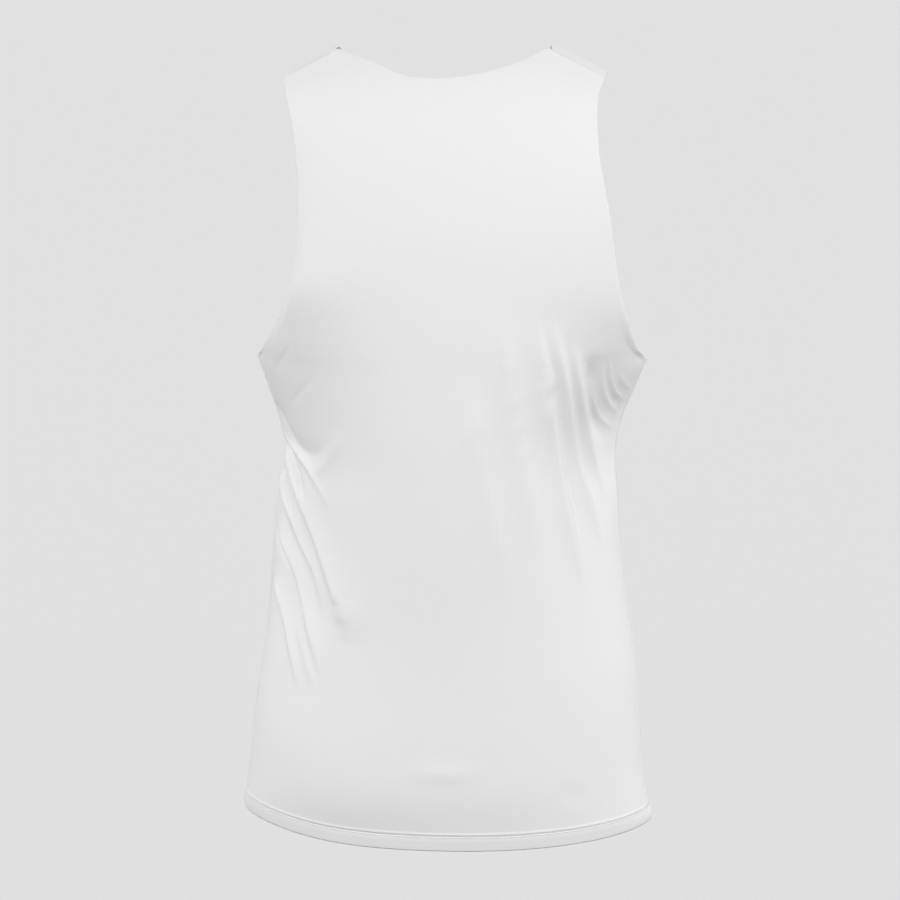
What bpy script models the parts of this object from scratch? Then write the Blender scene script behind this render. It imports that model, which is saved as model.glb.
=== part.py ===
"""Athletic tank top, hollow and holding the form of a wearer who isn't there.

Metres, +Z up. The front of the garment faces -Y and its back +Y, so the wearer's left is +X.
The origin is the middle of the neck opening, level with the tops of the shoulder straps.
The tables are in millimetres: they hold the cut and the hang of the cloth as level sections,
and its largest folds.
"""

from collections import namedtuple

import bpy
import numpy as np

MM = 0.001

# Cloth and seams
WALL = 1.5  # one layer of interlock jersey
HEM_WALL = 2.2  # the hem band is the jersey folded double
SEAM_GAP = 0.3  # between two pieces that meet at a seam

# Neck edge, from the wearer's right to the left: the top of each panel between its shoulder seams
NECK_COLUMN = 0.68  # the column that ends at the neck end of the shoulder seam
NECK_TURN = 0.54  # the column where the front neckline starts to turn up and over to that end
BACK_NECK = (
    # across, height
    (-97, 2),
    (-88, -2),
    (-75, -8),
    (-58, -14),
    (-38, -19),
    (-12, -23),
    (14, -23),
    (32, -20),
    (48, -14),
    (64, -8),
    (82, -3),
    (97, 2),
)
FRONT_NECK = (
    # across, height
    (-97, 0),
    (-90, -22),
    (-76, -52),
    (-54, -78),
    (-26, -91),
    (0, -94),
    (26, -91),
    (54, -78),
    (76, -52),
    (90, -22),
    (97, 0),
)

# Facets: how many lie between one column and the next named one, centre to side, and how many
# rows lie from the hem seam to the underarm and from there to the top
BACK_COLUMNS = ((0.33, 3), (NECK_COLUMN, 8), (1.0, 6))
FRONT_COLUMNS = ((0.27, 2), (NECK_TURN, 3), (NECK_COLUMN, 4), (1.0, 6))
BODY_ROWS = 20
UPPER_ROWS = 12

HEM_LEAN = 0.02  # rise of the hem for each millimetre towards the wearer's left
HEM_DIP = 11.5  # how much lower the hem hangs at the middle of a panel than at the side seams

# Body, from the hem seam up to the last section under the arms. Half widths are measured from
# the centre line to each side seam; back and front are the depths from the side seams to the
# centre of each panel; full is how square the section is.
BODY = (
    # height, left, right, back, front, full
    (-684, 189, 182, 85, 98, 0.92),
    (-651, 184, 177, 91.5, 101, 0.92),
    (-606, 179, 174, 95, 103, 0.90),
    (-556, 171, 171, 97, 104, 0.90),
    (-501, 164, 163, 99.5, 105, 0.95),
    (-446, 160, 156, 102.5, 107, 1.03),
    (-396, 154, 153, 104.5, 110, 1.15),
    (-358, 146, 151, 105.5, 113, 1.20),
    (-331, 152, 156, 106, 114, 1.26),
    (-302, 161, 168, 106, 114, 1.27),
)

# From the underarm up a section runs from one armhole edge to the other, rising to the centre.
# wrap is how far round, in degrees, the cloth turns from the centre to the armhole.
UNDERARM_ROW = len(BODY)
UPPER_BACK = (
    # edge_z, mid_z, left, right, left_y, right_y, mid_y, wrap, full
    (-276, -275, 170, 179, 0, 0, 106, 90, 1.25),
    (-270, -268, 166, 175, 17.8, 16.3, 106, 82, 1.178),
    (-258, -251, 158, 169, 36.5, 32.5, 106, 72, 1.07),
    (-236, -225, 144, 163, 57, 48, 105.5, 60, 0.97),
    (-208, -194, 133, 157, 69, 57, 104, 52, 0.88),
    (-174, -160, 125, 152, 71, 60, 101, 46, 0.86),
    (-138, -124, 122, 147, 68, 60, 95, 41, 0.86),
    (-102, -88, 123, 140, 61, 57, 87, 36, 0.9),
    (-68, -52, 127, 136, 50, 48, 75, 31, 0.95),
    (-42, -17, 134, 136, 35, 34, 56, 26, 1.0),
    (-26, 18, 139, 141, 15, 15, 24, 20, 1.0),
)
UPPER_FRONT = (
    # edge_z, mid_z, left, right, left_y, right_y, mid_y, wrap, full
    (-276, -275, 170, 179, 0, 0, 114, 90, 1.25),
    (-270, -267, 165, 169, 18, 20, 114, 82, 1.18),
    (-258, -250, 155, 158, 38, 40, 114.5, 73, 1.10),
    (-236, -222, 141, 149, 57, 54, 114.5, 61, 1.02),
    (-204, -188, 129, 142, 68, 62, 112, 52, 0.95),
    (-168, -152, 120, 136, 70, 64, 107, 44, 0.95),
    (-132, -116, 117, 130, 64, 61, 98.5, 38, 1.0),
    (-96, -80, 119, 128, 55, 54, 88, 32, 1.0),
    (-62, -44, 126, 131, 42, 42, 70, 28, 1.0),
    (-35, -11, 134, 136, 24, 24, 46, 25, 1.0),
    (-22, 18, 139, 141, 3, 3, 16, 22, 1.0),
    (-26, 18, 139, 141, -15, -15, -24, 20, 1.0),
)

# Broad swells and hollows of the cloth, by distance round the body from the panel's centre line,
# left above 0, and height: lift is outward, or inward below 0.
BACK_SWELLS = (
    # across, height, reach_across, reach_up, reach_down, lift
    (128, -200, 44, 50, 50, 3.0),
    (124, -318, 44, 80, 60, -2.0),
    (140, -455, 46, 85, 95, -12.0),
    (-150, -310, 40, 60, 110, -4.0),
    (-172, -352, 36, 62, 50, -6.0),
    (0, -330, 90, 110, 140, 2.0),
    (104, -655, 76, 130, 60, 9.0),
)
FRONT_SWELLS = (
    # across, height, reach_across, reach_up, reach_down, lift
    (126, -330, 40, 80, 80, -4.0),
    (-146, -340, 40, 80, 80, -5.0),
)

# Largest folds of each panel, as ridges (lift above 0) and troughs (lift below 0). A place is
# given as its distance round the body from the panel's centre line, left above 0, and its height.
# bow is how far the middle strays from a straight line, and peak is where along its length, from
# the top, the fold stands highest.
FOLD_COLUMNS = "top_across top_z low_across low_z bow width lift peak"
BACK_FOLDS = (
    # top_across, top_z, low_across, low_z, bow, width, lift, peak
    (-80, -218, -126, -458, 4, 9, 5.0, 0.60),
    (-103, -240, -144, -420, 4, 9, 5.0, 0.50),
    (-126, -258, -170, -400, 4, 8, 4.5, 0.55),
    (-156, -286, -188, -358, 0, 11, -5.0, 0.60),
    (182, -330, 86, -338, 20, 9, 4.5, 0.40),
    (172, -362, 84, -524, 8, 10, 5.5, 0.35),
    (188, -428, 104, -562, 10, 9, -6.0, 0.35),
    (184, -478, 134, -568, 6, 8, -4.5, 0.45),
)
FRONT_FOLDS = (
    # top_across, top_z, low_across, low_z, bow, width, lift, peak
    (84, -228, 122, -442, -4, 10, 4.5, 0.55),
    (112, -246, 150, -398, -4, 9, 4.5, 0.50),
    (-96, -236, -138, -426, 4, 10, 4.5, 0.50),
    (-132, -258, -168, -388, 4, 9, 4.0, 0.60),
    (-176, -388, -92, -532, -8, 11, -5.0, 0.40),
    (180, -448, 110, -562, 8, 10, -5.0, 0.40),
)
SEAM_CALM = 14.0  # folds die out this far short of a side seam

# Hem band, from its seam down: how far below the seam, and how far out it stands from the line
# of the body, at the middle of a panel and at the side seams
HEM_BAND = (
    # below, out, out_at_side
    (0.3, 0.0, 0.0),
    (5.0, -0.3, 2.3),
    (10.0, -1.3, 3.4),
    (14.5, -2.3, 2.8),
)

WHITE = (0.87, 0.87, 0.87, 1.0)
ROUGHNESS = 0.55

Fold = namedtuple("Fold", FOLD_COLUMNS)


def smooth_curve(knots, values):
    """A function passing smoothly through rows of values, one row at each knot."""
    gaps = np.diff(knots)[:, None]
    slopes = np.diff(values, axis=0) / gaps
    inner = (gaps[1:] * slopes[:-1] + gaps[:-1] * slopes[1:]) / (gaps[:-1] + gaps[1:])
    tangents = np.concatenate([slopes[:1], inner, slopes[-1:]])

    def at(where):
        i = np.clip(np.searchsorted(knots, where) - 1, 0, len(knots) - 2)
        gap = gaps[i]
        t = (where - knots[i])[..., None] / gap
        start = (1 + 2 * t) * (1 - t) ** 2 * values[i] + t * (1 - t) ** 2 * gap * tangents[i]
        end = t**2 * (3 - 2 * t) * values[i + 1] - t**2 * (1 - t) * gap * tangents[i + 1]
        return start + end

    return at


class Panel:
    """The front or the back of the garment, as a smooth surface over columns and rows.

    A column runs from -1 at the wearer's right edge through 0 at the centre to 1 at the left
    edge. A row is measured in millimetres of cloth up from the hem seam.
    """

    def __init__(self, side):
        is_back = side == "back"
        self.facing = 1 if is_back else -1
        neck = np.array(BACK_NECK if is_back else FRONT_NECK, float)
        self.neck_at = smooth_curve(neck[:, 0], neck[:, 1:])
        self.folds = [Fold(*row) for row in (BACK_FOLDS if is_back else FRONT_FOLDS)]
        self.swells = BACK_SWELLS if is_back else FRONT_SWELLS
        sections = []
        for height, left, right, back, front, full in BODY:
            depth = back if is_back else front
            sections.append((height, height, left, right, 0, 0, depth, 90, full))
        table = np.array(sections + list(UPPER_BACK if is_back else UPPER_FRONT), float)
        edge_steps = np.hypot(np.diff(table[:, 0]), np.diff(table[:, 4]))
        middle_steps = np.hypot(np.diff(table[:, 1]), np.diff(table[:, 6]))
        steps = (edge_steps + middle_steps) / 2
        steps[:UNDERARM_ROW] = np.diff(table[: UNDERARM_ROW + 1, 0])
        knots = np.concatenate([[0], np.cumsum(steps)])
        self.underarm = knots[UNDERARM_ROW]
        self.top = knots[-1]
        self.body_at = smooth_curve(knots[: UNDERARM_ROW + 1], table[: UNDERARM_ROW + 1])
        self.upper_at = smooth_curve(knots[UNDERARM_ROW:], table[UNDERARM_ROW:])

    def point(self, column, row):
        """The place on the unfolded cloth. Column and row are arrays of one shape."""
        below = row <= self.underarm
        section = np.where(below[..., None], self.body_at(row), self.upper_at(row))
        edge_z, mid_z, left, right, left_y, right_y, mid_y, wrap, full = np.moveaxis(section, -1, 0)
        edge_y = np.where(below, 0, np.where(column > 0, left_y, right_y))
        turn = np.radians(np.where(below, 90, wrap))
        across = np.sin(column * turn) / np.sin(turn)
        inward = (np.cos(column * turn) - np.cos(turn)) / (1 - np.cos(turn))
        inward = np.clip(inward, 0, None)
        x = (left + right) / 2 * across + (left - right) / 2 * across**2
        y = self.facing * (edge_y + (mid_y - edge_y) * inward**full)
        z = edge_z + (mid_z - edge_z) * inward
        lean = np.clip(1 - row / self.underarm, 0, 1)
        z = z + lean * (HEM_LEAN * x - HEM_DIP * (1 - across**2))
        return np.stack([x, y, z], -1)

    def top_row(self, column):
        """The row where a column ends: at the shoulder seam, or lower at the neckline."""
        low, high = np.full(column.shape, self.underarm), np.full(column.shape, self.top)
        for _ in range(30):
            middle = (low + high) / 2
            spot = self.point(column, middle)
            above = spot[..., 2] > self.neck_at(spot[..., 0])[..., 0]
            low, high = np.where(above, low, middle), np.where(above, middle, high)
        if self.facing < 0:
            turned = np.clip((np.abs(column) - NECK_TURN) / (NECK_COLUMN - NECK_TURN), 0, 1)
            low = low + (self.top - low) * turned**2
        return np.where(np.abs(column) < NECK_COLUMN - 1e-6, low, self.top)

    def grid(self, columns, body_rows, upper_rows):
        """Points of the unfolded cloth, rows from the hem seam up and columns right to left."""
        body = np.linspace(0, self.underarm, body_rows + 1)[:, None]
        upper = np.linspace(0, 1, upper_rows + 1)[1:, None]
        body = np.broadcast_to(body, (body_rows + 1, len(columns)))
        upper = self.underarm + (self.top_row(columns) - self.underarm) * upper
        rows = np.concatenate([body, upper])
        return self.point(np.broadcast_to(columns, rows.shape), rows)


def panel_columns(parts):
    """Column values from one edge of a panel to the other."""
    half = [np.zeros(1)]
    start = 0.0
    for end, count in parts:
        half.append(np.linspace(start, end, count + 1)[1:])
        start = end
    half = np.concatenate(half)
    return np.concatenate([-half[:0:-1], half])


def unit(vectors):
    return vectors / np.linalg.norm(vectors, axis=-1, keepdims=True)


def ease(value):
    """0 to 1 with no corner at either end."""
    value = np.clip(value, 0, 1)
    return value * value * (3 - 2 * value)


def outward(points, facing):
    """The outward direction at each point of a panel's grid."""
    along = np.gradient(points, axis=1)
    up = np.gradient(points, axis=0)
    return facing * unit(np.cross(up, along))


def fold_heights(points, folds, swells):
    """How far the folds and swells move each point of a panel's grid outward."""
    steps = np.linalg.norm(np.diff(points, axis=1), axis=2)
    across = np.concatenate([np.zeros((len(points), 1)), np.cumsum(steps, axis=1)], axis=1)
    across = across - across[:, across.shape[1] // 2, None]
    calm = ease((across[:, -1:] - across) / SEAM_CALM) * ease((across - across[:, :1]) / SEAM_CALM)
    spot = np.stack([across, points[..., 2]], -1)
    heights = np.zeros(across.shape)
    for fold in folds:
        start = np.array([fold.top_across, fold.top_z])
        run = np.array([fold.low_across, fold.low_z]) - start
        length = np.hypot(*run)
        side = np.array([-run[1], run[0]]) / length
        along = (spot - start) @ run / length**2
        off = (spot - start) @ side - fold.bow * 4 * along * (1 - along)
        taper = ease(along / fold.peak) * ease((1 - along) / (1 - fold.peak))
        heights += fold.lift * taper * np.exp(-((off / fold.width) ** 2))
    for middle, level, reach_across, reach_up, reach_down, lift in swells:
        reach = np.where(spot[..., 1] > level, reach_up, reach_down)
        off = ((across - middle) / reach_across) ** 2 + ((spot[..., 1] - level) / reach) ** 2
        heights += lift * np.exp(-off)
    return heights * calm


def shoulder_seam(panels, columns):
    """Directions at the shoulder seam: out of the cloth, and across the seam to the back."""
    tops = {side: np.full(columns.shape, panel.top) for side, panel in panels.items()}
    seam = panels["back"].point(columns, tops["back"])
    behind = panels["back"].point(columns, tops["back"] - 4)
    ahead = panels["front"].point(columns, tops["front"] - 4)
    across = unit(behind - ahead)
    along = np.gradient(seam, axis=0)
    out = unit(np.cross(across, along))
    return out * np.sign(out[:, 2:]), across


def panel_shell(panels, side):
    """Outer and inner points of a panel, with its seams drawn back by half the seam gap."""
    panel = panels[side]
    columns = panel_columns(BACK_COLUMNS if side == "back" else FRONT_COLUMNS)
    outer = panel.grid(columns, BODY_ROWS, UPPER_ROWS)
    lift = fold_heights(outer, panel.folds, panel.swells)
    outer = outer + outward(outer, panel.facing) * lift[..., None]
    normals = outward(outer, panel.facing)
    for edge in (0, -1):
        normals[: BODY_ROWS + 1, edge, 1] = 0
        outer[: BODY_ROWS + 1, edge, 1] = panel.facing * SEAM_GAP / 2
    normals[0, :, 2] = 0
    normals = unit(normals)
    out, across = shoulder_seam(panels, columns)
    shoulder = np.abs(columns) >= NECK_COLUMN - 1e-6
    normals[-1, shoulder] = out[shoulder]
    outer[-1, shoulder] += panel.facing * across[shoulder] * SEAM_GAP / 2
    return outer, outer - normals * WALL, columns


def hem_shell(outer, inner, columns):
    """Outer and inner points of the hem band below a panel's lowest row."""
    out = unit(outer[0] - inner[0])
    sideness = np.abs(columns) ** 6
    rows = []
    for below, middle, at_side in reversed(HEM_BAND):
        stands = middle + (at_side - middle) * sideness
        row = outer[0] + out * stands[:, None]
        row[:, 2] -= below
        rows.append(row)
    rows = np.array(rows)
    return rows, rows - out * HEM_WALL


def add_solid(name, outer, inner):
    """One closed solid between two grids of points."""
    rows, count = outer.shape[:2]
    index = np.arange(rows * count).reshape(rows, count)
    behind = index + rows * count
    faces = []
    for i in range(rows - 1):
        for j in range(count - 1):
            quad = [index[i, j], index[i, j + 1], index[i + 1, j + 1], index[i + 1, j]]
            faces.append(quad)
            quad = [behind[i, j], behind[i + 1, j], behind[i + 1, j + 1], behind[i, j + 1]]
            faces.append(quad)
    rim = list(index[0]) + list(index[1:, -1]) + list(index[-1, -2::-1]) + list(index[-2:0:-1, 0])
    for start, end in zip(rim, rim[1:] + rim[:1]):
        faces.append([start, start + rows * count, end + rows * count, end])
    points = np.concatenate([outer.reshape(-1, 3), inner.reshape(-1, 3)]) * MM
    if np.cross(outer[0, 1] - outer[0, 0], outer[1, 0] - outer[0, 0]) @ (outer - inner)[0, 0] < 0:
        faces = [face[::-1] for face in faces]
    mesh = bpy.data.meshes.new(name)
    mesh.from_pydata(points.tolist(), [], [[int(i) for i in face] for face in faces])
    mesh.validate()
    solid = bpy.data.objects.new(name, mesh)
    bpy.context.scene.collection.objects.link(solid)
    material = bpy.data.materials.new(name + ".cloth")
    material.use_nodes = True
    shader = material.node_tree.nodes["Principled BSDF"]
    shader.inputs["Base Color"].default_value = WHITE
    shader.inputs["Roughness"].default_value = ROUGHNESS
    mesh.materials.append(material)
    return solid


def main():
    for thing in list(bpy.data.objects):
        bpy.data.objects.remove(thing, do_unlink=True)
    panels = {side: Panel(side) for side in ("back", "front")}
    for side in panels:
        outer, inner, columns = panel_shell(panels, side)
        add_solid(side + "_panel", outer, inner)
        add_solid("hem_" + side, *hem_shell(outer, inner, columns))


main()
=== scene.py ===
"""Looks of the athletic tank top: jersey panels, hem bands, stitches and the studio.

Every size in the tables is in millimetres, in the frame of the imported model: +Z up, the garment's
front towards -Y and its back towards +Y, so the wearer's left is +X. The origin is the middle of
the neck opening, level with the tops of the shoulder straps.
"""

import functools
import math

import bpy
import numpy as np
from bpy.props import FloatProperty, FloatVectorProperty, IntProperty, PointerProperty
from mathutils import Matrix, Vector


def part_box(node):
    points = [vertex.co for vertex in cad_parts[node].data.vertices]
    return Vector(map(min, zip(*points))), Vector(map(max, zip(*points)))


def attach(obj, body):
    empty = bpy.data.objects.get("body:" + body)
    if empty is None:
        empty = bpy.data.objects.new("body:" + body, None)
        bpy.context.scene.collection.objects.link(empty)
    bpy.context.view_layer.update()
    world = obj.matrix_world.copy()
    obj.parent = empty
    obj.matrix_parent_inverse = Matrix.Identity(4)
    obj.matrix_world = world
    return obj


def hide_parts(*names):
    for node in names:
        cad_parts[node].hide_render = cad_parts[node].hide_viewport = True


bl_info = {
    "name": "Athletic tank top",
    "version": (1, 0, 0),
    "blender": (4, 5, 0),
    "location": "3D View > Sidebar > Tank Top",
    "description": "Makes the jersey, hems, stitches and studio of a worn tank top",
    "category": "Object",
}

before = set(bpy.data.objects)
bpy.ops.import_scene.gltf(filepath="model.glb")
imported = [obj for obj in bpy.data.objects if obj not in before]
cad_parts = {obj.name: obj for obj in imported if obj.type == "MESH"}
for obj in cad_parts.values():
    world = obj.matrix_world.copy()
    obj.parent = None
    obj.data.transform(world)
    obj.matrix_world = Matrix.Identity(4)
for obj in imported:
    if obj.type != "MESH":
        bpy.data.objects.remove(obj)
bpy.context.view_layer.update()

MM = 0.001
CLOSE = 1e-6  # two columns nearer than this are one
BODY_NAME = "root"

# ---------------------------------------------------------------------------------------------
# The form of the cloth: the same sections as the solids have
# ---------------------------------------------------------------------------------------------

NECK_COLUMN = 0.68  # the column that ends at the neck end of the shoulder seam
NECK_TURN = 0.54  # the column where the front neckline starts to turn up and over to that end
NECK_TURN_POWER = 6  # how late it turns
NECK_HALVINGS = 30  # rounds in which the neckline's place on a column is found
BACK_NECK = (
    # across, height
    (-97, 2),
    (-88, -2),
    (-75, -8),
    (-58, -14),
    (-38, -19),
    (-12, -23),
    (14, -23),
    (32, -20),
    (48, -14),
    (64, -8),
    (82, -3),
    (97, 2),
)
FRONT_NECK = (
    # across, height
    (-97, 0),
    (-90, -22),
    (-76, -52),
    (-54, -78),
    (-26, -91),
    (0, -94),
    (26, -91),
    (54, -78),
    (76, -52),
    (90, -22),
    (97, 0),
)

HEM_LEAN = 0.02  # rise of the hem for each millimetre towards the wearer's left
HEM_DIP = 11.5  # how much lower the hem hangs at the middle of a panel than at the side seams

# Body, from the hem seam up to the last section under the arms. Half widths are measured from
# the centre line to each side seam; back and front are the depths from the side seams to the
# centre of each panel; full is how square the section is.
BODY = (
    # height, left, right, back, front, full
    (-684, 189, 182, 85, 98, 0.92),
    (-651, 184, 177, 91.5, 101, 0.92),
    (-606, 179, 174, 95, 103, 0.90),
    (-556, 171, 171, 97, 104, 0.90),
    (-501, 164, 163, 99.5, 105, 0.95),
    (-446, 160, 156, 102.5, 107, 1.03),
    (-396, 154, 153, 104.5, 110, 1.15),
    (-358, 146, 151, 105.5, 113, 1.20),
    (-331, 152, 156, 106, 114, 1.26),
    (-302, 161, 168, 106, 114, 1.27),
)

# From the underarm up a section runs from one armhole edge to the other, rising to the centre.
# wrap is how far round, in degrees, the cloth turns from the centre to the armhole.
UNDERARM_ROW = len(BODY)
UPPER_BACK = (
    # edge_z, mid_z, left, right, left_y, right_y, mid_y, wrap, full
    (-276, -275, 170, 179, 0, 0, 106, 90, 1.25),
    (-270, -268, 166, 175, 17.8, 16.3, 106, 82, 1.178),
    (-258, -251, 158, 169, 36.5, 32.5, 106, 72, 1.07),
    (-236, -225, 144, 163, 57, 48, 105.5, 60, 0.97),
    (-208, -194, 133, 157, 69, 57, 104, 52, 0.88),
    (-174, -160, 125, 152, 71, 60, 101, 46, 0.86),
    (-138, -124, 122, 147, 68, 60, 95, 41, 0.86),
    (-102, -88, 123, 140, 61, 57, 87, 36, 0.9),
    (-68, -52, 127, 136, 50, 48, 75, 31, 0.95),
    (-42, -17, 134, 136, 35, 34, 56, 26, 1.0),
    (-26, 18, 139, 141, 15, 15, 24, 20, 1.0),
)
UPPER_FRONT = (
    # edge_z, mid_z, left, right, left_y, right_y, mid_y, wrap, full
    (-276, -275, 170, 179, 0, 0, 114, 90, 1.25),
    (-270, -267, 165, 169, 18, 20, 114, 82, 1.18),
    (-258, -250, 155, 158, 38, 40, 114.5, 73, 1.10),
    (-236, -222, 141, 149, 57, 54, 114.5, 61, 1.02),
    (-204, -188, 129, 142, 68, 62, 112, 52, 0.95),
    (-168, -152, 120, 136, 70, 64, 107, 44, 0.95),
    (-132, -116, 117, 130, 64, 61, 98.5, 38, 1.0),
    (-96, -80, 119, 128, 55, 54, 88, 32, 1.0),
    (-62, -44, 126, 131, 42, 42, 70, 28, 1.0),
    (-35, -11, 134, 136, 24, 24, 46, 25, 1.0),
    (-22, 18, 139, 141, 3, 3, 16, 22, 1.0),
    (-26, 18, 139, 141, -15, -15, -24, 20, 1.0),
)

# ---------------------------------------------------------------------------------------------
# Creases. A place on the cloth is given as its distance round the body from the panel's
# centre line, the wearer's left above 0, and its height.
# ---------------------------------------------------------------------------------------------

# Broad swells and hollows of the cloth: lift is outward, or inward below 0. The reach up may
# differ from the reach down.
BACK_SWELLS = (
    # across, height, reach_across, reach_up, reach_down, lift
    (128, -200, 44, 50, 50, 3.0),
    (124, -318, 44, 80, 60, -2.0),
    (140, -455, 46, 85, 95, -12.0),
    (-150, -310, 40, 60, 110, -4.0),
    (-172, -352, 36, 62, 50, -6.0),
    (0, -330, 90, 110, 140, 2.0),
    (104, -655, 76, 130, 60, 9.0),
)
FRONT_SWELLS = (
    # across, height, reach_across, reach_up, reach_down, lift
    (126, -330, 40, 80, 80, -4.0),
    (-146, -340, 40, 80, 80, -5.0),
)

# A crease follows a smooth line through its points. lift above 0 is a pinched ridge, below 0 a
# trough. Its flank is to_right wide towards the wearer's right and to_left wide towards the
# left, and peak is where along its length, from its first point, it is strongest.
BACK_CREASES = (
    # lift, to_right, to_left, peak, points
    # long ridges that run down from under the right arm, each with a hollow just right of it
    (6.2, 4.5, 8, 0.52,
     ((-84, -216), (-90, -242), (-97, -281), (-105, -325), (-112, -361), (-119, -400), (-136, -486))),
    (6.8, 4, 7, 0.52,
     ((-99, -222), (-106, -246), (-114, -278), (-123, -315), (-132, -348), (-142, -381), (-163, -446))),
    (6.6, 4, 6, 0.52,
     ((-120, -246), (-126, -269), (-135, -298), (-146, -326), (-158, -356), (-178, -402))),
    (-3.2, 5, 3.5, 0.52,
     ((-94, -224), (-104, -281), (-112, -325), (-119, -361), (-126, -400), (-138, -446))),
    (-3.4, 5, 3.5, 0.52,
     ((-112, -236), (-121, -278), (-130, -315), (-139, -348), (-151, -384), (-164, -412))),
    (-6.0, 9, 6, 0.5, ((-138, -258), (-152, -310), (-168, -334), (-190, -354))),
    (-1.6, 8, 8, 0.6, ((-160, -262), (-172, -300), (-198, -326))),
    # fainter ones nearer the spine
    (4.0, 4, 8, 0.5, ((-56, -214), (-66, -290), (-76, -360), (-90, -446))),
    (2.8, 4, 9, 0.5, ((-28, -270), (-38, -340), (-50, -404), (-66, -480))),
    # fine creases that fan into the pocket under the right arm
    (1.8, 1.4, 1.6, 0.5, ((-144, -272), (-152, -302), (-165, -321), (-179, -332), (-204, -340))),
    (1.6, 1.4, 1.6, 0.5, ((-156, -270), (-163, -295), (-175, -312), (-202, -328))),
    (1.5, 1.4, 1.6, 0.5, ((-162, -266), (-171, -290), (-183, -305), (-204, -314))),
    (0.8, 1.3, 1.8, 0.5, ((-178, -284), (-191, -296), (-207, -303))),
    # faint pulls under the left arm
    (-0.5, 2, 3, 0.4, ((172, -286), (147, -261), (132, -247))),
    (-0.6, 2, 3, 0.5, ((158, -314), (134, -296), (110, -275))),
    # the smile over the left waist: the cloth drops into it from above
    (-2.8, 7, 6, 0.35,
     ((204, -312), (178, -330), (169, -342), (152, -353), (131, -355), (112, -343), (102, -326))),
    (1.3, 5, 5, 0.6, ((142, -372), (126, -368), (109, -356), (98, -342), (92, -324))),
    # drag folds that run down from the pinched left waist: thin ridges over dark slits, then
    # long ones that rise gently from the upper right and drop steeply to the lower left
    (2.4, 3.5, 1.5, 0.3, ((206, -334), (178, -350), (155, -361), (136, -371), (120, -384), (96, -412))),
    (-5.0, 2.2, 2.6, 0.4, ((204, -344), (176, -361), (160, -374), (149, -386), (138, -404))),
    (3.0, 4, 1.4, 0.35, ((206, -354), (182, -368), (166, -381), (151, -398), (137, -422))),
    (-4.5, 2.2, 2.6, 0.4, ((206, -368), (186, -384), (171, -397), (157, -416))),
    (2.8, 4, 1.4, 0.35, ((208, -376), (188, -392), (172, -408), (154, -434))),
    (5.4, 13, 2.2, 0.66, ((166, -382), (150, -399), (129, -424), (113, -449), (97, -480), (82, -524))),
    (3.0, 7, 2, 0.6, ((186, -392), (172, -404), (147, -436), (123, -464), (108, -506))),
    (-2.4, 6, 2.2, 0.3, ((204, -424), (184, -442), (160, -463), (142, -490), (126, -524))),
    (6.4, 11, 2.2, 0.5, ((202, -418), (188, -430), (164, -449), (144, -479), (124, -517), (106, -562))),
    (4.2, 7, 2.2, 0.4, ((198, -472), (179, -486), (158, -513), (145, -540), (130, -576))),
    (2.0, 6, 2.2, 0.5, ((150, -500), (139, -518), (123, -550), (114, -570))),
    # slight marks low on the back
    (1.4, 5, 4, 0.5, ((30, -631), (-4, -635), (-38, -632))),
    (-0.8, 4, 5, 0.5, ((-104, -652), (-120, -660), (-138, -664))),
)
FRONT_CREASES = (
    # lift, to_right, to_left, peak, points
    (4.2, 6, 5, 0.5, ((84, -228), (98, -300), (104, -350), (122, -442))),
    (4.2, 6, 5, 0.5, ((112, -246), (126, -300), (136, -340), (150, -398))),
    (-3.0, 6, 6, 0.5, ((98, -240), (112, -310), (122, -360), (134, -420))),
    (4.2, 5, 6, 0.5, ((-96, -236), (-108, -300), (-116, -350), (-138, -426))),
    (4.0, 5, 6, 0.5, ((-132, -258), (-142, -300), (-150, -340), (-168, -388))),
    (-3.0, 6, 6, 0.5, ((-110, -246), (-124, -310), (-134, -360), (-150, -404))),
    (-6.0, 4, 8, 0.3, ((-194, -366), (-156, -412), (-126, -466), (-94, -536))),
    (2.8, 6, 10, 0.5, ((-168, -370), (-132, -414), (-104, -464), (-76, -520))),
    (-5.6, 7, 4, 0.3, ((200, -426), (162, -464), (136, -510), (110, -562))),
    (2.6, 10, 6, 0.5, ((176, -414), (140, -456), (116, -500), (96, -548))),
    (-2.4, 4, 4, 0.35, ((196, -322), (166, -340), (140, -344), (116, -332))),
)
SEAM_CALM = 11.0  # creases die out this far short of a side seam
UNDERARM_EASE_ROWS = 12  # mesh rows either side of the underarm over which the form is evened out
UNDERARM_EASE_ROUNDS = 40
UNDERARM_EASE_STOP = 0.08  # it fades out over the last columns, this share of the half width

# ---------------------------------------------------------------------------------------------
# Cloth, seams and mesh
# ---------------------------------------------------------------------------------------------

# Mesh rows and columns, as (end, count): columns from the centre to the side seam, body rows in
# millimetres up from the hem seam and the last ones to the underarm, upper rows as shares of the
# way from the underarm to the top
BACK_COLUMNS = ((0.4, 14), (NECK_COLUMN, 26), (0.95, 32), (1.0, 9))
FRONT_COLUMNS = ((0.26, 8), (NECK_TURN, 9), (0.64, 9), (NECK_COLUMN, 12), (0.95, 22), (1.0, 8))
BODY_ROWS = ((5.0, 12), (18.0, 7), (120.0, 18), (1.0, 183))
UPPER_ROWS = ((0.3, 34), (0.92, 20), (1.0, 12))
CREASE_STEPS = 16  # straight pieces that a crease's line is followed in
CREST = 0.35  # how round a crease is along its crest, as a share of its flank
CREASE_REACH = 5  # how far either side a crease is followed, in flanks
CREASE_START = 1.8  # how fast a crease gains its lift from its first point on
CREASE_END = 1.4  # and how fast it loses it towards its last

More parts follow.
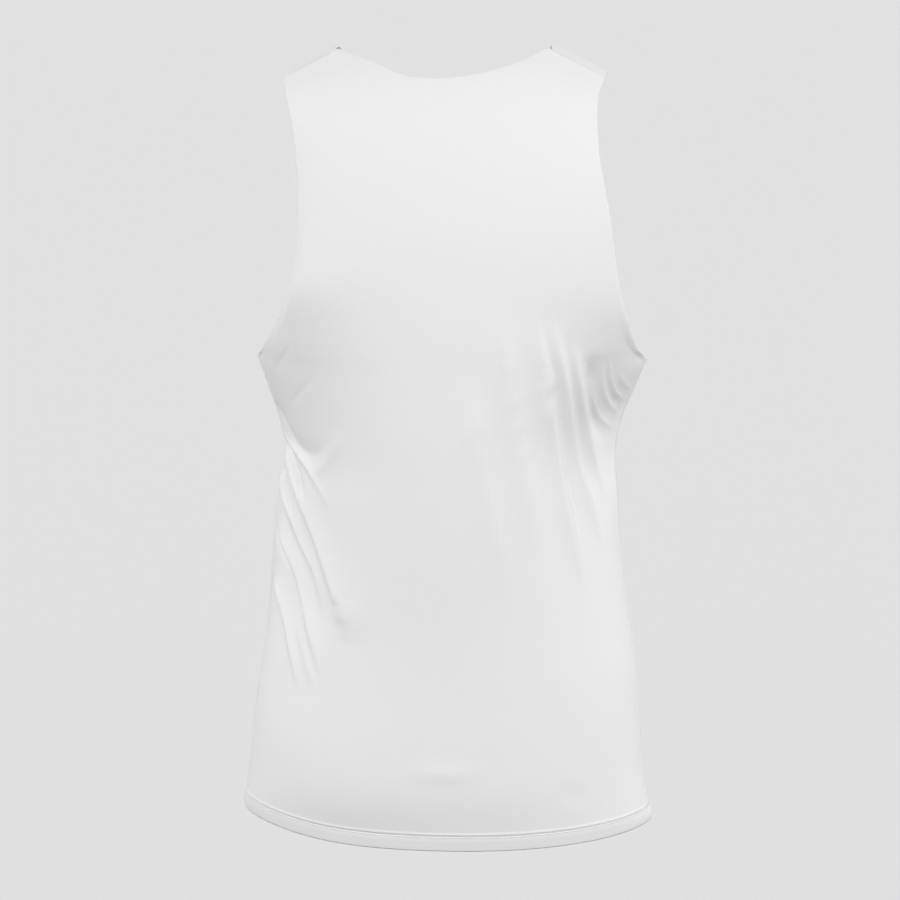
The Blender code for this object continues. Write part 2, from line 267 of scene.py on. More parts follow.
SEAM_GAP = 0.12  # two pieces at a seam, butted together
SEAM_SINK = 0.3  # how deep the cloth dips into a seam
SEAM_SINK_WIDTH = 1.6
SEAM_SIDE = 4.0  # how far from the shoulder seam its direction is taken
EDGE_TURN = 8.0  # width of the turned edge at the neck and the armholes
EDGE_STEP = 1.5  # width over which the cloth thickens into it
ROLL_ANGLES = (40.0, 90.0, 140.0)  # where the rim of a cloth has its rows of points, in degrees
RIM_ROUND = 0.9  # how far a turned edge stands out, as a share of half its thickness
RIM_FLAT = 0.04  # and how far the rim at a seam does
HEM_RIDGE = 0.5  # the seam allowance inside lifts the cloth above the hem seam
HEM_RIDGE_HEIGHT = 2.1
HEM_RIDGE_WIDTH = 1.25
HEM_SINK = 0.05  # and how deep the cloth dips into that seam

# Hem band, from its seam down: how far below the seam, and how far out it stands from the line
# of the body, at the middle of a panel and at the side seams
HEM_BAND = (
    # below, out, out_at_side
    (0.1, -0.04, -0.04),
    (0.8, 0.05, 0.15),
    (2.4, 0.0, 1.0),
    (5.0, -0.3, 2.3),
    (8.0, -0.9, 3.2),
    (11.5, -1.6, 3.4),
    (14.5, -2.3, 2.8),
)
HEM_BAND_ROWS = 18
HEM_SIDE_POWER = 6  # how near the side seams the band keeps the shape it has there
HEM_STITCH_DROP = 1.4  # how far below the hem seam its stitches run
SOLID_SLACK = 8.0  # how far a panel's box may be from its solid's

# A stitch, in lengths of one stitch with the gap after it
STITCH_SHOWN = 0.8  # how much of it is thread
STITCH_TIP = 0.42  # from its middle to the point of either end
STITCH_PROFILE = (
    # place, thickness
    (-0.5, 0.35),
    (-0.42, 1.0),
    (0.42, 1.0),
    (0.5, 0.35),
)
STITCH_RISE = 0.5  # how far its middle stands out of the cloth, in half thicknesses of thread
STITCH_ARCH = 2.2  # and how much its ends dip towards it
STITCH_FLAT = 0.8  # how much flatter it is than wide
STITCH_SIDE = 0.5  # how far either side of its middle, in mm, its direction is taken

# The knit, as drawn
COURSES = 1.3  # courses of loops to a wale
VALLEY = 1.2  # how deep the valley between two wales is next to the loops

# ---------------------------------------------------------------------------------------------
# Camera: behind the garment, a little above it and towards the wearer's right
# ---------------------------------------------------------------------------------------------

CAMERA_AZIMUTH = 185.0
CAMERA_ELEVATION = 11.45
CAMERA_ROLL = -0.54
CAMERA_DISTANCE = 2.6
CAMERA_TARGET = (-0.0023, 0.0, -0.3603)
CAMERA_LENS = 115.6
CAMERA_REACH = 200.0
SENSOR_WIDTH = 36.0


def linear(hex_colour):
    """An sRGB hex colour as linear red, green, blue and alpha."""
    values = []
    for i in (1, 3, 5):
        value = int(hex_colour[i : i + 2], 16) / 255
        values.append(value / 12.92 if value <= 0.04045 else ((value + 0.055) / 1.055) ** 2.4)
    return (*values, 1.0)


class TankTopSizes(bpy.types.PropertyGroup):
    cloth: FloatProperty(
        name="Cloth",
        description="Thickness of one layer of jersey",
        default=0.9 * MM,
        unit="LENGTH",
        precision=4,
    )
    turned_edge: FloatProperty(
        name="Turned edge",
        description="Thickness of the turned edges and of the doubled hem band",
        default=1.8 * MM,
        unit="LENGTH",
        precision=4,
    )
    wale: FloatProperty(
        name="Wale spacing",
        description="Distance between two columns of knitted loops, as drawn",
        default=1.3 * MM,
        unit="LENGTH",
        precision=4,
    )
    stitch: FloatProperty(
        name="Stitch",
        description="Length of one stitch with the gap after it",
        default=3.2 * MM,
        unit="LENGTH",
        precision=4,
    )
    thread: FloatProperty(
        name="Thread",
        description="Thickness of the sewing thread",
        default=0.55 * MM,
        unit="LENGTH",
        precision=5,
    )
    thread_sides: IntProperty(
        name="Thread sides",
        description="Flat sides round each stitch",
        default=6,
        min=4,
    )


class TankTopColours(bpy.types.PropertyGroup):
    cloth: FloatVectorProperty(
        name="Cloth",
        description="Colour of the bleached jersey",
        subtype="COLOR",
        size=4,
        default=linear("#E4E4E3"),
    )
    cloth_shade: FloatVectorProperty(
        name="Cloth, thin places",
        description="Colour where the loops lie more open",
        subtype="COLOR",
        size=4,
        default=linear("#E0E1E1"),
    )
    # The thread is white; this grey is painted shade, standing for the shade of the needle holes round
    # each stitch.
    thread: FloatVectorProperty(
        name="Thread",
        description="Colour of the sewing thread",
        subtype="COLOR",
        size=4,
        default=linear("#C4C6C8"),
    )
    floor: FloatVectorProperty(
        name="Floor",
        description="Colour of the studio floor",
        subtype="COLOR",
        size=4,
        default=linear("#F1F1F1"),
    )


# ---------------------------------------------------------------------------------------------
# Surfaces
# ---------------------------------------------------------------------------------------------


def unit(vectors):
    """The same directions, each of length 1."""
    return vectors / np.linalg.norm(vectors, axis=-1, keepdims=True)


def ease(value):
    """0 to 1 with no corner at either end."""
    value = np.clip(value, 0, 1)
    return value * value * (3 - 2 * value)


def steps(parts):
    """Rising values from 0 through each part's end, evenly spaced within each part."""
    values = [np.zeros(1)]
    start = 0.0
    for end, count in parts:
        values.append(np.linspace(start, end, count + 1)[1:])
        start = end
    return np.concatenate(values)


def smooth_curve(knots, values):
    """A function passing smoothly through rows of values, one row at each knot."""
    gaps = np.diff(knots)[:, None]
    slopes = np.diff(values, axis=0) / gaps
    inner = (gaps[1:] * slopes[:-1] + gaps[:-1] * slopes[1:]) / (gaps[:-1] + gaps[1:])
    tangents = np.concatenate([slopes[:1], inner, slopes[-1:]])

    def at(where):
        i = np.clip(np.searchsorted(knots, where) - 1, 0, len(knots) - 2)
        gap = gaps[i]
        t = (where - knots[i])[..., None] / gap
        start = (1 + 2 * t) * (1 - t) ** 2 * values[i] + t * (1 - t) ** 2 * gap * tangents[i]
        end = t**2 * (3 - 2 * t) * values[i + 1] - t**2 * (1 - t) * gap * tangents[i + 1]
        return start + end

    return at


class Form:
    """The front or the back of the garment, as a smooth surface over columns and rows.

    A column runs from -1 at the wearer's right edge through 0 at the centre to 1 at the left
    edge. A row is measured in millimetres of cloth up from the hem seam.
    """

    def __init__(self, side):
        is_back = side == "back"
        self.facing = 1 if is_back else -1
        neck = np.array(BACK_NECK if is_back else FRONT_NECK, float)
        self.neck_at = smooth_curve(neck[:, 0], neck[:, 1:])
        sections = []
        for height, left, right, back, front, full in BODY:
            depth = back if is_back else front
            sections.append((height, height, left, right, 0, 0, depth, 90, full))
        table = np.array(sections + list(UPPER_BACK if is_back else UPPER_FRONT), float)
        edge_steps = np.hypot(np.diff(table[:, 0]), np.diff(table[:, 4]))
        middle_steps = np.hypot(np.diff(table[:, 1]), np.diff(table[:, 6]))
        lengths = (edge_steps + middle_steps) / 2
        lengths[:UNDERARM_ROW] = np.diff(table[: UNDERARM_ROW + 1, 0])
        knots = np.concatenate([[0], np.cumsum(lengths)])
        self.underarm = knots[UNDERARM_ROW]
        self.top = knots[-1]
        self.body_at = smooth_curve(knots[: UNDERARM_ROW + 1], table[: UNDERARM_ROW + 1])
        self.upper_at = smooth_curve(knots[UNDERARM_ROW:], table[UNDERARM_ROW:])

    def point(self, column, row):
        """The place on the unfolded cloth. Column and row are arrays of one shape."""
        below = row <= self.underarm
        section = np.where(below[..., None], self.body_at(row), self.upper_at(row))
        edge_z, mid_z, left, right, left_y, right_y, mid_y, wrap, full = np.moveaxis(section, -1, 0)
        edge_y = np.where(below, 0, np.where(column > 0, left_y, right_y))
        turn = np.radians(np.where(below, 90, wrap))
        across = np.sin(column * turn) / np.sin(turn)
        inward = (np.cos(column * turn) - np.cos(turn)) / (1 - np.cos(turn))
        inward = np.clip(inward, 0, None)
        x = (left + right) / 2 * across + (left - right) / 2 * across**2
        y = self.facing * (edge_y + (mid_y - edge_y) * inward**full)
        z = edge_z + (mid_z - edge_z) * inward
        lean = np.clip(1 - row / self.underarm, 0, 1)
        z = z + lean * (HEM_LEAN * x - HEM_DIP * (1 - across**2))
        return np.stack([x, y, z], -1)

    def top_row(self, column):
        """The row where a column ends: at the shoulder seam, or lower at the neckline."""
        low, high = np.full(column.shape, self.underarm), np.full(column.shape, self.top)
        for _ in range(NECK_HALVINGS):
            middle = (low + high) / 2
            spot = self.point(column, middle)
            above = spot[..., 2] > self.neck_at(spot[..., 0])[..., 0]
            low, high = np.where(above, low, middle), np.where(above, middle, high)
        if self.facing < 0:
            turned = np.clip((np.abs(column) - NECK_TURN) / (NECK_COLUMN - NECK_TURN), 0, 1)
            low = low + (self.top - low) * turned**NECK_TURN_POWER
        return np.where(np.abs(column) < NECK_COLUMN - CLOSE, low, self.top)

    def grid(self, columns):
        """Points of the unfolded cloth, rows from the hem seam up and columns right to left."""
        body = steps((*BODY_ROWS[:-1], (self.underarm, BODY_ROWS[-1][1])))[:, None]
        body = np.broadcast_to(body, (len(body), len(columns)))
        upper = steps(UPPER_ROWS)[1:, None]
        upper = self.underarm + (self.top_row(columns) - self.underarm) * upper
        rows = np.concatenate([body, upper])
        return self.point(np.broadcast_to(columns, rows.shape), rows)


def outward(points, facing):
    """The outward direction at each point of a panel's grid."""
    along = np.gradient(points, axis=1)
    up = np.gradient(points, axis=0)
    return facing * unit(np.cross(up, along))


def lengths_along(points, axis):
    """How much cloth lies between the start of each row or column and each of its points."""
    gaps = np.linalg.norm(np.diff(points, axis=axis), axis=2)
    first = np.zeros_like(points[:1, :, 0] if axis == 0 else points[:, :1, 0])
    return np.concatenate([first, np.cumsum(gaps, axis=axis)], axis=axis)


def places_at(wanted, gone, rows):
    """Places or directions along a line, at the wanted distances from its start."""
    return np.stack([np.interp(wanted, gone, rows[:, k]) for k in range(3)], -1)


def area_of(points):
    """The area of a grid of points, in square metres."""
    along = np.diff(points, axis=1)[:-1]
    up = np.diff(points, axis=0)[:, :-1]
    return float(np.linalg.norm(np.cross(up, along), axis=2).sum()) * MM**2


def evened(points, columns, level):
    """A grid of points with the surface evened out either side of one row, but not at its ends."""
    near = ease(1 - np.abs(np.arange(len(points)) - level) / UNDERARM_EASE_ROWS)
    share = 0.5 * near[:, None] * ease((1 - np.abs(columns)) / UNDERARM_EASE_STOP)
    for _ in range(UNDERARM_EASE_ROUNDS):
        middle = (points[:-2] + points[2:]) / 2
        points[1:-1] += (middle - points[1:-1]) * share[1:-1, :, None]
    return points


def swell_heights(across, height, table):
    """How far the swells of a table move the cloth outward, at each place on it."""
    lifted = np.zeros(across.shape)
    for middle, level, reach_across, reach_up, reach_down, lift in table:
        reach = np.where(height > level, reach_up, reach_down)
        off = ((across - middle) / reach_across) ** 2 + ((height - level) / reach) ** 2
        lifted += lift * np.exp(-off)
    return lifted


def crease_heights(across, height, table):
    """How far the creases of a table move the cloth outward, at each place on it."""
    lifted = np.zeros(across.shape)
    for lift, to_right, to_left, peak, points in table:
        knots = np.array(points, float)
        gone = np.concatenate([[0], np.cumsum(np.hypot(*np.diff(knots, axis=0).T))])
        path = smooth_curve(gone, knots)(np.linspace(0, gone[-1], CREASE_STEPS + 1))
        low, high = path.min(axis=0), path.max(axis=0)
        reach = CREASE_REACH * max(to_right, to_left)
        near = (across > low[0] - reach) & (across < high[0] + reach)
        near &= (height > low[1] - reach) & (height < high[1] + reach)
        spot = np.stack([across[near], height[near]], -1)
        best = np.full(len(spot), np.inf)
        off, along = np.zeros(len(spot)), np.zeros(len(spot))
        for k, (start, end) in enumerate(zip(path, path[1:])):
            run = end - start
            length = np.hypot(*run)
            share = (spot - start) @ run / length**2
            inside = np.clip(share, 0, 1)
            gap = np.hypot(*(spot - start - inside[:, None] * run).T)
            signed = (spot - start) @ np.array([-run[1], run[0]]) / length
            nearer = gap < best
            best = np.where(nearer, gap, best)
            off = np.where(nearer, signed, off)
            along = np.where(nearer, (k + inside) / CREASE_STEPS, along)
        side = np.where(off > 0, to_left, to_right)
        taper = ease(CREASE_START * along / peak) * ease(CREASE_END * (1 - along) / (1 - peak))
        fall = np.hypot(best / side, CREST) - CREST
        lifted[near] += lift * taper * np.exp(-fall)
    return lifted


def shoulder_seam(forms, columns):
    """Directions at the shoulder seam: out of the cloth, and across the seam to the back."""
    tops = {side: np.full(columns.shape, form.top) for side, form in forms.items()}
    seam = forms["back"].point(columns, tops["back"])
    behind = forms["back"].point(columns, tops["back"] - SEAM_SIDE)
    ahead = forms["front"].point(columns, tops["front"] - SEAM_SIDE)
    across = unit(behind - ahead)
    out = unit(np.cross(across, np.gradient(seam, axis=0)))
    return out * np.sign(out[:, 2:]), across


class Cloth:
    """One panel as it hangs: its outer points, outward directions and thickness."""

    def __init__(self, forms, side, parts, creases, swells):
        form = forms[side]
        half = steps(parts)
        self.columns = np.concatenate([-half[:0:-1], half])
        self.facing = form.facing
        self.body_rows = sum(count for _, count in BODY_ROWS)
        plain = evened(form.grid(self.columns), self.columns, self.body_rows)
        across = lengths_along(plain, 1)
        self.across = across - across[:, across.shape[1] // 2, None]
        self.height = lengths_along(plain, 0)
        self.flat_area = area_of(plain)
        from_left = across[:, -1:] - across
        to_seam = np.minimum(across, from_left)
        calm = ease(to_seam / SEAM_CALM)
        body = np.arange(len(plain)) <= self.body_rows
        height = plain[..., 2]
        lift = crease_heights(self.across, height, creases)
        lift = (lift + swell_heights(self.across, height, swells)) * calm
        lift -= SEAM_SINK * np.exp(-((to_seam / SEAM_SINK_WIDTH) ** 2)) * body[:, None]
        to_top = self.height[-1] - self.height
        shoulder = np.abs(self.columns) >= NECK_COLUMN - CLOSE
        lift -= SEAM_SINK * np.exp(-((to_top / SEAM_SINK_WIDTH) ** 2)) * shoulder
        lift -= HEM_SINK * np.exp(-((self.height / HEM_RIDGE_WIDTH) ** 2))
        ridge = (self.height - HEM_RIDGE_HEIGHT) / HEM_RIDGE_WIDTH
        lift += HEM_RIDGE * np.exp(-(ridge**2))
        self.outer = plain + outward(plain, self.facing) * lift[..., None]
        self.normals = outward(self.outer, self.facing)
        self.square_seams(forms, shoulder)
        free = np.where(body[:, None], np.inf, to_seam)
        free = np.where(shoulder, free, np.minimum(free, to_top))
        self.turned = ease((EDGE_TURN - free) / EDGE_STEP + 0.5)

    def square_seams(self, forms, shoulder):
        """Draws the seam edges back by half the seam gap and squares them to the seams."""
        body = self.body_rows + 1
        for edge in (0, -1):
            self.normals[:body, edge, 1] = 0
            self.outer[:body, edge, 1] = self.facing * SEAM_GAP / 2
        self.normals[0, :, 2] = 0
        self.normals = unit(self.normals)
        out, across = shoulder_seam(forms, self.columns)
        self.normals[-1, shoulder] = out[shoulder]
        self.outer[-1, shoulder] += self.facing * across[shoulder] * SEAM_GAP / 2


# ---------------------------------------------------------------------------------------------
# Meshes
# ---------------------------------------------------------------------------------------------


def new_piece(name, points, faces, material, uvs=None):
    """A smooth mesh object from points in millimetres, riding with the garment."""
    mesh = bpy.data.meshes.new(name)
    mesh.from_pydata((points * MM).tolist(), [], faces)
    mesh.materials.append(material)
    if uvs is not None:
        layer = mesh.uv_layers.new(name="cloth")
        corners = np.empty(len(mesh.loops), np.int32)
        mesh.loops.foreach_get("vertex_index", corners)
        layer.data.foreach_set("uv", (uvs * MM)[corners].ravel())
    mesh.shade_smooth()
    piece = bpy.data.objects.new(name, mesh)
    bpy.context.scene.collection.objects.link(piece)
    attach(piece, BODY_NAME)
    return piece


def shell(name, outer, normals, thickness, uvs, rolled, material):
    """A closed shell of cloth. rolled is 1 where its rim is a round edge and 0 at a seam."""
    rows, count = outer.shape[:2]
    size = rows * count
    inner = outer - normals * thickness[..., None]
    index = np.arange(size).reshape(rows, count)
    quads = np.stack([index[:-1, :-1], index[:-1, 1:], index[1:, 1:], index[1:, :-1]], -1)
    quads = quads.reshape(-1, 4)
    rim = np.concatenate([index[0], index[1:, -1], index[-1, -2::-1], index[-2:0:-1, 0]])
    flat = outer.reshape(-1, 3)
    out = normals.reshape(-1, 3)[rim]
    tangent = unit(np.roll(flat[rim], -1, axis=0) - np.roll(flat[rim], 1, axis=0))
    middle = flat[rim] - out * thickness.reshape(-1)[rim, None] / 2
    radius = thickness.reshape(-1)[rim, None] / 2
    away = np.cross(tangent, out)
    centre = flat.mean(axis=0)
    if np.sum((flat[rim] - centre) * away) < 0:
        away = -away
    round_part = rolled.reshape(-1)[rim, None] * RIM_ROUND + RIM_FLAT
    rings = []
    for angle in np.radians(ROLL_ANGLES):
        rise, reach = math.cos(angle), math.sin(angle) * round_part
        rings.append(middle + radius * (out * rise + away * reach))
    points = np.concatenate([flat, inner.reshape(-1, 3)] + rings)
    places = uvs.reshape(-1, 2)
    all_uvs = np.concatenate([places, places] + [places[rim]] * len(rings))
    loops = [rim]
    for i in range(len(rings)):
        loops.append(2 * size + i * len(rim) + np.arange(len(rim)))
    loops.append(rim + size)
    faces = [quads, quads[:, ::-1] + size]
    for start, end in zip(loops, loops[1:]):
        ahead, behind = np.roll(start, -1), np.roll(end, -1)
        faces.append(np.stack([start, end, behind, ahead], -1))
    faces = np.concatenate(faces)
    first = np.cross(outer[0, 1] - outer[0, 0], outer[1, 0] - outer[0, 0]) @ normals[0, 0]
    if first < 0:
        faces = faces[:, ::-1]
    return new_piece(name, points, faces.tolist(), material, all_uvs)


def stitches(name, lines, sizes, material):
    """Rows of stitches, each a small rounded bar. A line is (points, outward directions)."""
    length, radius = sizes.stitch / MM, sizes.thread / MM / 2
    sides = sizes.thread_sides
    turn = np.linspace(0, 2 * math.pi, sides, endpoint=False)
    points, faces, count = [], [], 0
    for path, out in lines:
        gone = lengths_along(path[:, None], 0)[:, 0]
        centres = np.arange(length / 2, gone[-1], length)
        ahead = places_at(centres + STITCH_SIDE, gone, path)
        behind = places_at(centres - STITCH_SIDE, gone, path)
        middles, forwards = places_at(centres, gone, path), unit(ahead - behind)
        upwards = unit(places_at(centres, gone, out))
        for middle, forward, upward in zip(middles, forwards, upwards):
            sideways = np.cross(forward, upward)
            first, last = count, count + (len(STITCH_PROFILE) - 1) * sides
            for place, share in STITCH_PROFILE:
                arch = radius * (STITCH_RISE - STITCH_ARCH * place * place)
                centre = middle + forward * place * length * STITCH_SHOWN + upward * arch
                ring = np.cos(turn)[:, None] * sideways
                ring = ring + np.sin(turn)[:, None] * upward * STITCH_FLAT
                points.append(centre + ring * radius * share)
            tip = forward * STITCH_TIP * length
            points.append(np.array([middle - tip, middle + tip]))
            count = last + sides + 2
            for k in range(sides):
                n = (k + 1) % sides
                for low in range(first, last, sides):
                    faces.append((low + k, low + sides + k, low + sides + n, low + n))
                faces.append((first + k, first + n, count - 2))
                faces.append((last + n, last + k, count - 1))
    return new_piece(name, np.concatenate(points), faces, material)


# ---------------------------------------------------------------------------------------------
# Materials
# ---------------------------------------------------------------------------------------------


def add(tree, kind, links=None, **settings):
    """One node, with its settings and what its inputs are: a value, or another node's output."""
    node = tree.nodes.new(kind)
    for name, value in settings.items():
        setattr(node, name, value)
    for name, source in (links or {}).items():
        socket = node.inputs[name]
        if isinstance(source, bpy.types.NodeSocket):
            tree.links.new(source, socket)
        else:
            socket.default_value = source
    return node


def new_material(name):
    """A material with an empty node tree, and that tree."""
    material = bpy.data.materials.new(name)
    material.use_nodes = True
    material.node_tree.nodes.clear()
    return material, material.node_tree


def polyester_jersey():
    """White polyester interlock jersey, knitted fine and pressed smooth on hot rollers.

    It gives the eye an even white with a soft satin sheen, and close up fine upright wales of
    V-shaped loops. The real wales are about 0.7 mm apart; they are drawn wider so that they show.
    """
    existing = bpy.data.materials.get("polyester_jersey")
    if existing:
        return existing
    settings, colours = bpy.context.scene.tank_top_sizes, bpy.context.scene.tank_top_colours
    material, tree = new_material("polyester_jersey")
    place = add(tree, "ShaderNodeUVMap", uv_map="cloth")
    parts = add(tree, "ShaderNodeSeparateXYZ", {"Vector": place.outputs["UV"]})
    across = add(
        tree, "ShaderNodeMath", {0: parts.outputs["X"], 1: 1 / settings.wale}, operation="MULTIPLY"
    )
    wave = add(tree, "ShaderNodeMath", {0: across.outputs[0], 1: 1.0}, operation="PINGPONG")
    courses = add(
        tree,
        "ShaderNodeMath",
        {0: parts.outputs["Y"], 1: COURSES / settings.wale},
        operation="MULTIPLY",
    )
    slanted = add(tree, "ShaderNodeMath", {0: wave.outputs[0], 1: courses.outputs[0]}, operation="ADD")
    loops = add(tree, "ShaderNodeMath", {0: slanted.outputs[0], 1: 0.5}, operation="PINGPONG")
    valley = add(tree, "ShaderNodeMath", {0: wave.outputs[0], 1: 0.5}, operation="SUBTRACT")
    valley = add(tree, "ShaderNodeMath", {0: valley.outputs[0]}, operation="ABSOLUTE")
    knit = add(
        tree,
        "ShaderNodeMath",
        {0: valley.outputs[0], 1: VALLEY, 2: loops.outputs[0]},
        operation="MULTIPLY_ADD",
    )
    bump = add(
        tree,
        "ShaderNodeBump",
        {"Height": knit.outputs[0], "Strength": 0.25, "Distance": 0.12 * MM},
    )
    spot = add(tree, "ShaderNodeTexCoord")
    uneven = add(
        tree,
        "ShaderNodeTexNoise",
        {"Vector": spot.outputs["Object"], "Scale": 900.0, "Detail": 3.0, "Roughness": 0.6},
    )
    shade = add(tree, "ShaderNodeValToRGB", {"Fac": uneven.outputs["Fac"]})
    thick, thin = shade.color_ramp.elements
    thick.position, thick.color = 0.35, colours.cloth
    thin.position, thin.color = 0.75, colours.cloth_shade
    rough = add(
        tree,
        "ShaderNodeMapRange",
        {"Value": uneven.outputs["Fac"], "To Min": 0.46, "To Max": 0.56},
    )
    shader = add(
        tree,
        "ShaderNodeBsdfPrincipled",
        {
            "Base Color": shade.outputs["Color"],
            "Roughness": rough.outputs["Result"],
            "IOR": 1.5,
            "Specular IOR Level": 0.4,
            "Sheen Weight": 0.15,
            "Sheen Roughness": 0.4,
            "Normal": bump.outputs["Normal"],
        },
    )
    add(tree, "ShaderNodeOutputMaterial", {"Surface": shader.outputs["BSDF"]})
    return material


def polyester_thread():
    """Spun polyester sewing thread, twisted and matt. The real thread is white; its grey, a shade
    darker than the cloth, is painted shade that stands for the shade of its needle holes, too fine to
    model.
    """
    existing = bpy.data.materials.get("polyester_thread")
    if existing:
        return existing
    colours = bpy.context.scene.tank_top_colours
    material, tree = new_material("polyester_thread")
    spot = add(tree, "ShaderNodeTexCoord")
    twist = add(
        tree,
        "ShaderNodeTexNoise",
        {"Vector": spot.outputs["Object"], "Scale": 3000.0, "Detail": 1.0},
    )
    bump = add(
        tree, "ShaderNodeBump", {"Height": twist.outputs["Fac"], "Strength": 0.4, "Distance": 0.05 * MM}
    )
    shader = add(
        tree,
        "ShaderNodeBsdfPrincipled",
        {
            # painted shade: the white thread is drawn grey for the shade of its needle holes
            "Base Color": tuple(colours.thread),
            "Roughness": 0.6,
            "IOR": 1.5,
            "Specular IOR Level": 0.4,
            "Normal": bump.outputs["Normal"],
        },
    )
    add(tree, "ShaderNodeOutputMaterial", {"Surface": shader.outputs["BSDF"]})
    return material


def painted_floor():
    """A smooth floor painted matt light grey, rolled on: almost even, with a faint mottle."""
    colours = bpy.context.scene.tank_top_colours
    material, tree = new_material("painted_floor")
    spot = add(tree, "ShaderNodeTexCoord")
    mottle = add(
        tree,
        "ShaderNodeTexNoise",
        {"Vector": spot.outputs["Object"], "Scale": 0.6, "Detail": 2.0},
    )
    rough = add(
        tree, "ShaderNodeMapRange", {"Value": mottle.outputs["Fac"], "To Min": 0.9, "To Max": 1.0}
    )
    shader = add(
        tree,
        "ShaderNodeBsdfPrincipled",
        {
            "Base Color": tuple(colours.floor),
            "Roughness": rough.outputs["Result"],
            "Specular IOR Level": 0.0,
        },
    )
    add(tree, "ShaderNodeOutputMaterial", {"Surface": shader.outputs["BSDF"]})
    return material


# ---------------------------------------------------------------------------------------------
# Pieces
# ---------------------------------------------------------------------------------------------

SIDES = {
    "back": (BACK_COLUMNS, BACK_CREASES, BACK_SWELLS),
    "front": (FRONT_COLUMNS, FRONT_CREASES, FRONT_SWELLS),
}


@functools.cache
def cloth_of(side):
    """The panel of one side as it hangs."""
    forms = {name: Form(name) for name in SIDES}
    return Cloth(forms, side, *SIDES[side])


def make_panel(side):
    """One panel of the garment, which replaces its solid."""
    sizes = bpy.context.scene.tank_top_sizes
    cloth = cloth_of(side)
    low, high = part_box(side + "_panel")
    form_low, form_high = cloth.outer.min(axis=(0, 1)), cloth.outer.max(axis=(0, 1))
    off = np.abs([form_low * MM - np.array(low), form_high * MM - np.array(high)]).max()
    if off > SOLID_SLACK * MM:
        raise RuntimeError(f"{side}: the cloth is {off / MM:.1f} mm off its solid")
    single, turned = sizes.cloth / MM, sizes.turned_edge / MM
    thickness = single + (turned - single) * cloth.turned
    uvs = np.stack([cloth.across, cloth.height], -1)
    name = side + "_panel_cloth"
    piece = shell(name, cloth.outer, cloth.normals, thickness, uvs, cloth.turned, polyester_jersey())
    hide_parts(side + "_panel")
    return piece


def hem_points(cloth, below):
    """Points of a hem band, one row for each distance below its seam."""
    table = np.array(HEM_BAND)
    stands = smooth_curve(table[:, 0], table[:, 1:])(below)
    sideness = np.abs(cloth.columns) ** HEM_SIDE_POWER
    out = stands[:, :1] + (stands[:, 1:] - stands[:, :1]) * sideness
    points = cloth.outer[0] + cloth.normals[0] * out[..., None]
    points[..., 2] -= below[:, None]
    return points


def make_hem(side):
    """The hem band of one side, which replaces its solid."""
    sizes = bpy.context.scene.tank_top_sizes
    cloth = cloth_of(side)
    below = np.linspace(HEM_BAND[-1][0], HEM_BAND[0][0], HEM_BAND_ROWS)
    outer = hem_points(cloth, below)
    normals = outward(outer, cloth.facing)
    for edge in (0, -1):
        normals[:, edge, 1] = 0
    normals[-1, :, 2] = 0
    normals = unit(normals)
    thickness = np.full(outer.shape[:2], sizes.turned_edge / MM)
    down = np.broadcast_to(-below[:, None], thickness.shape)
    uvs = np.stack([np.broadcast_to(cloth.across[0], thickness.shape), down], -1)
    rolled = np.zeros(thickness.shape)
    rolled[0] = 1.0
    name = "hem_" + side + "_cloth"
    piece = shell(name, outer, normals, thickness, uvs, rolled, polyester_jersey())
    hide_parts("hem_" + side)
    return piece


def make_stitches():
    """The stitches that show: under the hem seam and down the side seams."""
    sizes = bpy.context.scene.tank_top_sizes
    hem, seams = [], []
    for side in SIDES:
        cloth = cloth_of(side)
        row = hem_points(cloth, np.array([HEM_STITCH_DROP]))[0]
        hem.append((row, cloth.normals[0]))
    back = cloth_of("back")
    for edge in (0, -1):
        path = back.outer[: back.body_rows + 1, edge] * (1, 0, 1)
        out = back.normals[: back.body_rows + 1, edge]
        seams.append((path, out))
    stitches("hem_stitches", hem, sizes, polyester_thread())
    stitches("seam_stitches", seams, sizes, polyester_thread())


class TANKTOP_OT_back_panel(bpy.types.Operator):
    """Make the back panel with its creases"""

    bl_idname = "tanktop.back_panel"
    bl_label = "Back panel"

    def execute(self, context):
        make_panel("back")
        return {"FINISHED"}


class TANKTOP_OT_front_panel(bpy.types.Operator):
    """Make the front panel with its creases"""

    bl_idname = "tanktop.front_panel"
    bl_label = "Front panel"

    def execute(self, context):
        make_panel("front")
        return {"FINISHED"}


class TANKTOP_OT_hem_bands(bpy.types.Operator):
    """Make the two hem bands under the panels"""

    bl_idname = "tanktop.hem_bands"
    bl_label = "Hem bands"

    def execute(self, context):
        for side in SIDES:
            make_hem(side)
        return {"FINISHED"}


class TANKTOP_OT_stitches(bpy.types.Operator):
    """Make the stitches that show at the hem and the side seams"""

    bl_idname = "tanktop.stitches"
    bl_label = "Stitches"

    def execute(self, context):
        make_stitches()
        return {"FINISHED"}


class TANKTOP_OT_studio(bpy.types.Operator):
    """Make the floor, the light and the camera"""

    bl_idname = "tanktop.studio"
    bl_label = "Studio"

    def execute(self, context):
        make_floor()
        make_light(context)
        make_camera(context)
        return {"FINISHED"}


# ---------------------------------------------------------------------------------------------
# Studio
# ---------------------------------------------------------------------------------------------

FLOOR_HEIGHT = -1.5  # under the feet of someone who would wear the garment
FLOOR_SIZE = 90.0
LIGHT_PEAK = 3.3  # the brightness that the ramp's white stands for
LIGHT_ENDS = -0.18  # how much brighter the ring is in front and behind than at the sides
LIGHT_BEHIND = 0.34  # and behind the wearer than in front
LIGHT_RIGHT = 0.10  # and at the wearer's right than at the left
LIGHT_RING = (
    # degrees above the horizon, brightness
    (-90, 0.04),
    (-22, 0.08),
    (-12, 0.46),
    (-2, 1.14),
    (6, 1.66),
    (15, 2.00),
    (25, 1.96),
    (35, 1.46),
    (45, 0.68),
    (54, 0.08),
    (90, 0.04),
)


